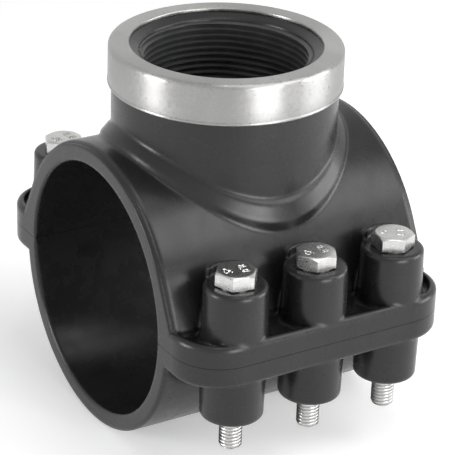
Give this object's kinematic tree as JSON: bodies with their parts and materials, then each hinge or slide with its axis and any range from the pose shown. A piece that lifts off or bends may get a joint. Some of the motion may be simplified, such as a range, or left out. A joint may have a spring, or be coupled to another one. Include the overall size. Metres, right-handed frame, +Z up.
{
  "type": "tapping saddle",
  "caption": "Clamp-on tapping saddle for plastic pipe: two black half shells bolted along both sides, with a threaded outlet standing up from the upper half, bound by a steel ring.",
  "frame": {"origin": "on the pipe's axis, midway along the saddle and under the outlet", "axes": "+Y along the pipe, +Z up the outlet, +X across to the bolt flanges"},
  "size_m": [0.145, 0.102, 0.1337],
  "materials": {
    "shell_plastic": "satin moulded polypropylene",
    "ring_steel": "pressed stainless sheet",
    "bolt_steel": "bright zinc plate",
    "seal_rubber": "smooth"
  },
  "bodies": {
    "root": {"upper_saddle": "shell_plastic", "lower_saddle": "shell_plastic", "reinforcing_ring": "ring_steel", "saddle_seal": "seal_rubber", "bolt_right_front": "bolt_steel", "bolt_right_middle": "bolt_steel", "bolt_right_rear": "bolt_steel", "bolt_left_front": "bolt_steel", "bolt_left_middle": "bolt_steel", "bolt_left_rear": "bolt_steel", "nut_right_front": "bolt_steel", "nut_right_middle": "bolt_steel", "nut_right_rear": "bolt_steel", "nut_left_front": "bolt_steel", "nut_left_middle": "bolt_steel", "nut_left_rear": "bolt_steel"}
  },
  "joints": []
}
